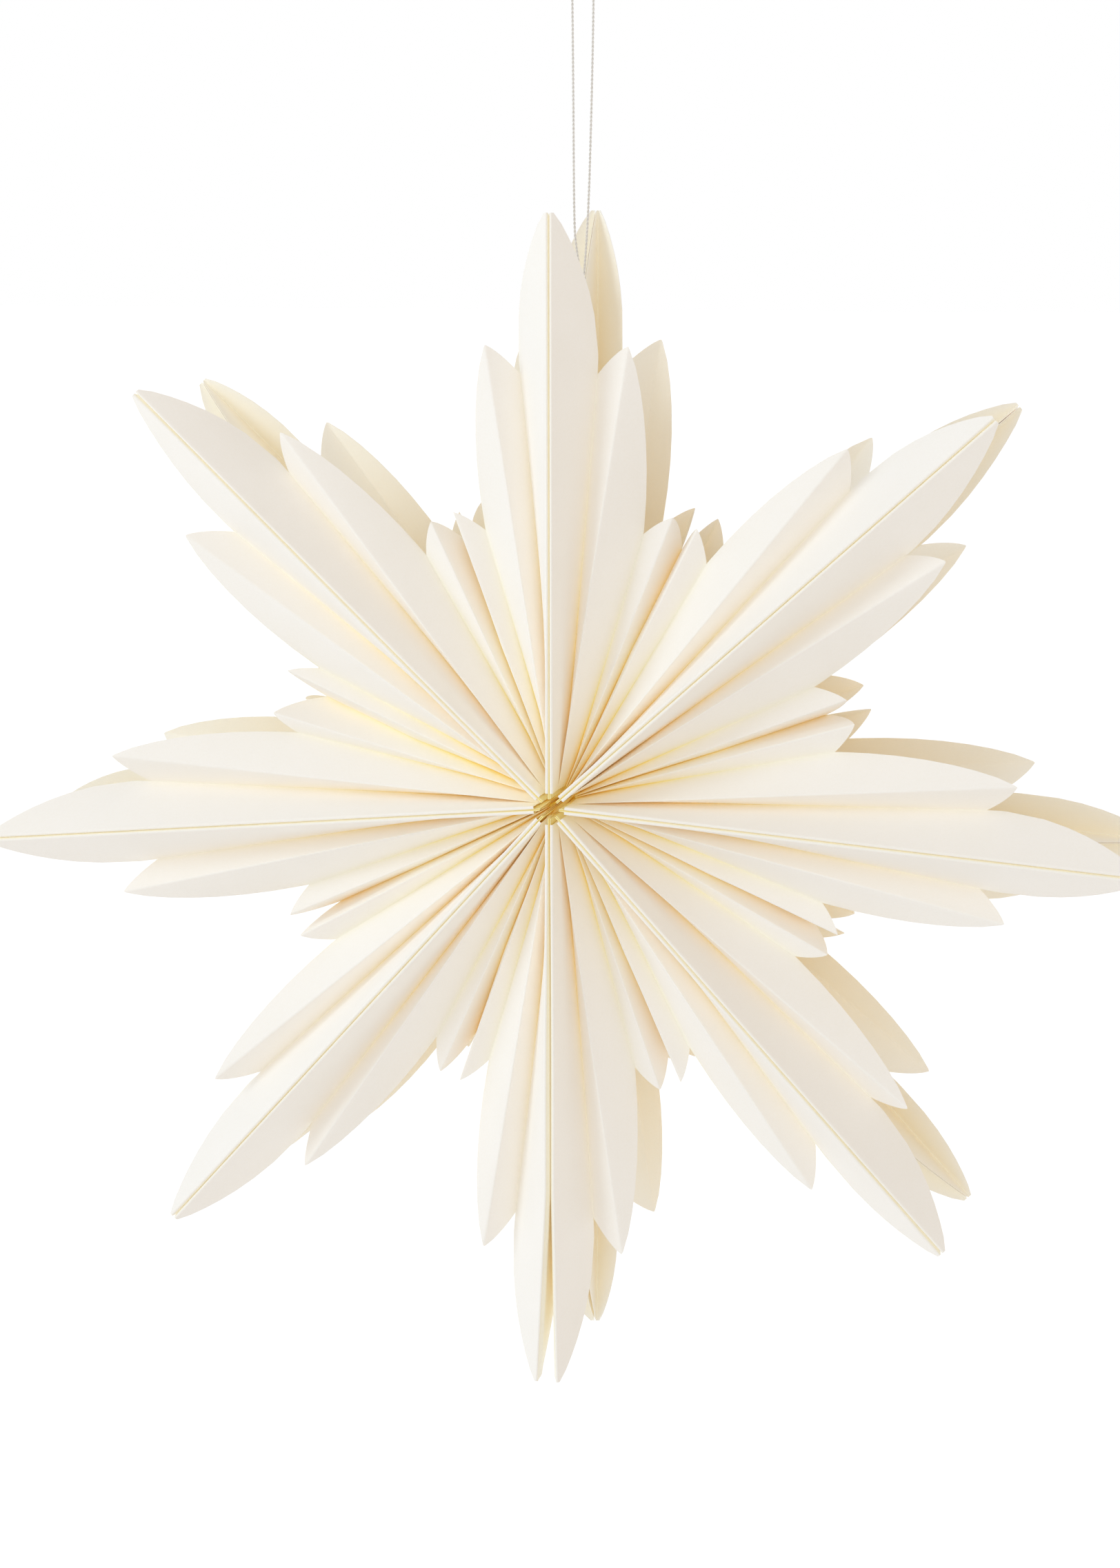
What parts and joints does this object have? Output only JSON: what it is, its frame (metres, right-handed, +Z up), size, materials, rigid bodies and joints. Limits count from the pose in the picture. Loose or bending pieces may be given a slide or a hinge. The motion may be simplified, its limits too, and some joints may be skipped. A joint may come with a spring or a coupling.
{
  "type": "folding paper star ornament",
  "caption": "Folded cream paper star with long, middle and short pleated points, hung on a thin string loop; both halves fold up like a fan to lie flat.",
  "frame": {"origin": "hang point, where the hook bears on the inside of the string loop's top", "axes": "+Z up along the string, +X to the viewer's right, +Y from the front of the star to its back"},
  "size_m": [0.598, 0.1214, 0.7292],
  "materials": {
    "paper": "matte",
    "string": "matte",
    "glue": "matte",
    "closing_pad": "matte"
  },
  "bodies": {
    "hanger": {"hanging_string": "string"},
    "top_rib": {"string_tie": "string", "segment_01_leaf": "paper", "segment_01_front_pleats": "paper", "segment_01_back_pleats": "paper", "segment_16_leaf": "paper", "segment_16_front_pleats": "paper", "segment_16_back_pleats": "paper", "top_seam_glue": "glue"},
    "right_rib_1": {"segment_02_leaf": "paper", "segment_02_front_pleats": "paper", "segment_02_back_pleats": "paper", "segment_03_leaf": "paper", "segment_03_front_pleats": "paper", "segment_03_back_pleats": "paper", "right_1_seam_glue": "glue"},
    "right_rib_2": {"segment_04_leaf": "paper", "segment_04_front_pleats": "paper", "segment_04_back_pleats": "paper", "segment_05_leaf": "paper", "segment_05_front_pleats": "paper", "segment_05_back_pleats": "paper", "right_2_seam_glue": "glue"},
    "right_rib_3": {"segment_06_leaf": "paper", "segment_06_front_pleats": "paper", "segment_06_back_pleats": "paper", "segment_07_leaf": "paper", "segment_07_front_pleats": "paper", "segment_07_back_pleats": "paper", "right_3_seam_glue": "glue"},
    "right_end": {"segment_08_leaf": "paper", "segment_08_front_pleats": "paper", "segment_08_back_pleats": "paper", "closing_pad": "closing_pad"},
    "left_end": {"segment_09_leaf": "paper", "segment_09_front_pleats": "paper", "segment_09_back_pleats": "paper"},
    "left_rib_3": {"segment_10_leaf": "paper", "segment_10_front_pleats": "paper", "segment_10_back_pleats": "paper", "segment_11_leaf": "paper", "segment_11_front_pleats": "paper", "segment_11_back_pleats": "paper", "left_3_seam_glue": "glue"},
    "left_rib_2": {"segment_12_leaf": "paper", "segment_12_front_pleats": "paper", "segment_12_back_pleats": "paper", "segment_13_leaf": "paper", "segment_13_front_pleats": "paper", "segment_13_back_pleats": "paper", "left_2_seam_glue": "glue"},
    "left_rib_1": {"segment_14_leaf": "paper", "segment_14_front_pleats": "paper", "segment_14_back_pleats": "paper", "segment_15_leaf": "paper", "segment_15_front_pleats": "paper", "segment_15_back_pleats": "paper", "left_1_seam_glue": "glue"}
  },
  "joints": [
    {"name": "string_swivel", "type": "hinge", "parent": "hanger", "child": "top_rib", "pos_m": [0, 0, -0.15395], "axis": [0, 0, 1], "continuous": true},
    {"name": "right_fan_fold", "type": "hinge", "parent": "top_rib", "child": "right_rib_1", "pos_m": [0.00204, -0.024, -0.42339], "axis": [0, -1, 0], "range_deg": [0, 48.2], "deforming": ["segment_01_front_pleats", "segment_01_back_pleats", "segment_02_front_pleats", "segment_02_back_pleats"]},
    {"name": "right_fold_2", "type": "hinge", "parent": "right_rib_1", "child": "right_rib_2", "pos_m": [0.00474, -0.024, -0.42637], "axis": [0, -1, 0], "range_deg": [0, 46.8], "deforming": ["segment_03_front_pleats", "segment_03_back_pleats", "segment_04_front_pleats", "segment_04_back_pleats"]},
    {"name": "right_fold_3", "type": "hinge", "parent": "right_rib_2", "child": "right_rib_3", "pos_m": [0.00448, -0.024, -0.43016], "axis": [0, -1, 0], "range_deg": [0, 42.5], "deforming": ["segment_05_front_pleats", "segment_05_back_pleats", "segment_06_front_pleats", "segment_06_back_pleats"]},
    {"name": "right_fold_4", "type": "hinge", "parent": "right_rib_3", "child": "right_end", "pos_m": [0.00184, -0.024, -0.4326], "axis": [0, -1, 0], "range_deg": [0, 41.9], "deforming": ["segment_07_front_pleats", "segment_07_back_pleats", "segment_08_front_pleats", "segment_08_back_pleats"]},
    {"name": "left_fan_fold", "type": "hinge", "parent": "top_rib", "child": "left_rib_1", "pos_m": [-0.00195, -0.024, -0.42335], "axis": [0, 1, 0], "range_deg": [0, 46], "deforming": ["segment_15_front_pleats", "segment_15_back_pleats", "segment_16_front_pleats", "segment_16_back_pleats"]},
    {"name": "left_fold_2", "type": "hinge", "parent": "left_rib_1", "child": "left_rib_2", "pos_m": [-0.00471, -0.024, -0.42627], "axis": [0, 1, 0], "range_deg": [0, 48.7], "deforming": ["segment_13_front_pleats", "segment_13_back_pleats", "segment_14_front_pleats", "segment_14_back_pleats"]},
    {"name": "left_fold_3", "type": "hinge", "parent": "left_rib_2", "child": "left_rib_3", "pos_m": [-0.00448, -0.024, -0.43016], "axis": [0, 1, 0], "range_deg": [0, 43.1], "deforming": ["segment_11_front_pleats", "segment_11_back_pleats", "segment_12_front_pleats", "segment_12_back_pleats"]},
    {"name": "left_fold_4", "type": "hinge", "parent": "left_rib_3", "child": "left_end", "pos_m": [-0.00186, -0.024, -0.43259], "axis": [0, 1, 0], "range_deg": [0, 40.7], "deforming": ["segment_09_front_pleats", "segment_09_back_pleats", "segment_10_front_pleats", "segment_10_back_pleats"]}
  ],
  "couplings": [
    {"joint": "right_fold_2", "follows": "right_fan_fold", "ratio": 0.97095},
    {"joint": "right_fold_3", "follows": "right_fan_fold", "ratio": 0.88174},
    {"joint": "right_fold_4", "follows": "right_fan_fold", "ratio": 0.86929},
    {"joint": "left_fold_2", "follows": "left_fan_fold", "ratio": 1.0587},
    {"joint": "left_fold_3", "follows": "left_fan_fold", "ratio": 0.93696},
    {"joint": "left_fold_4", "follows": "left_fan_fold", "ratio": 0.88478}
  ]
}
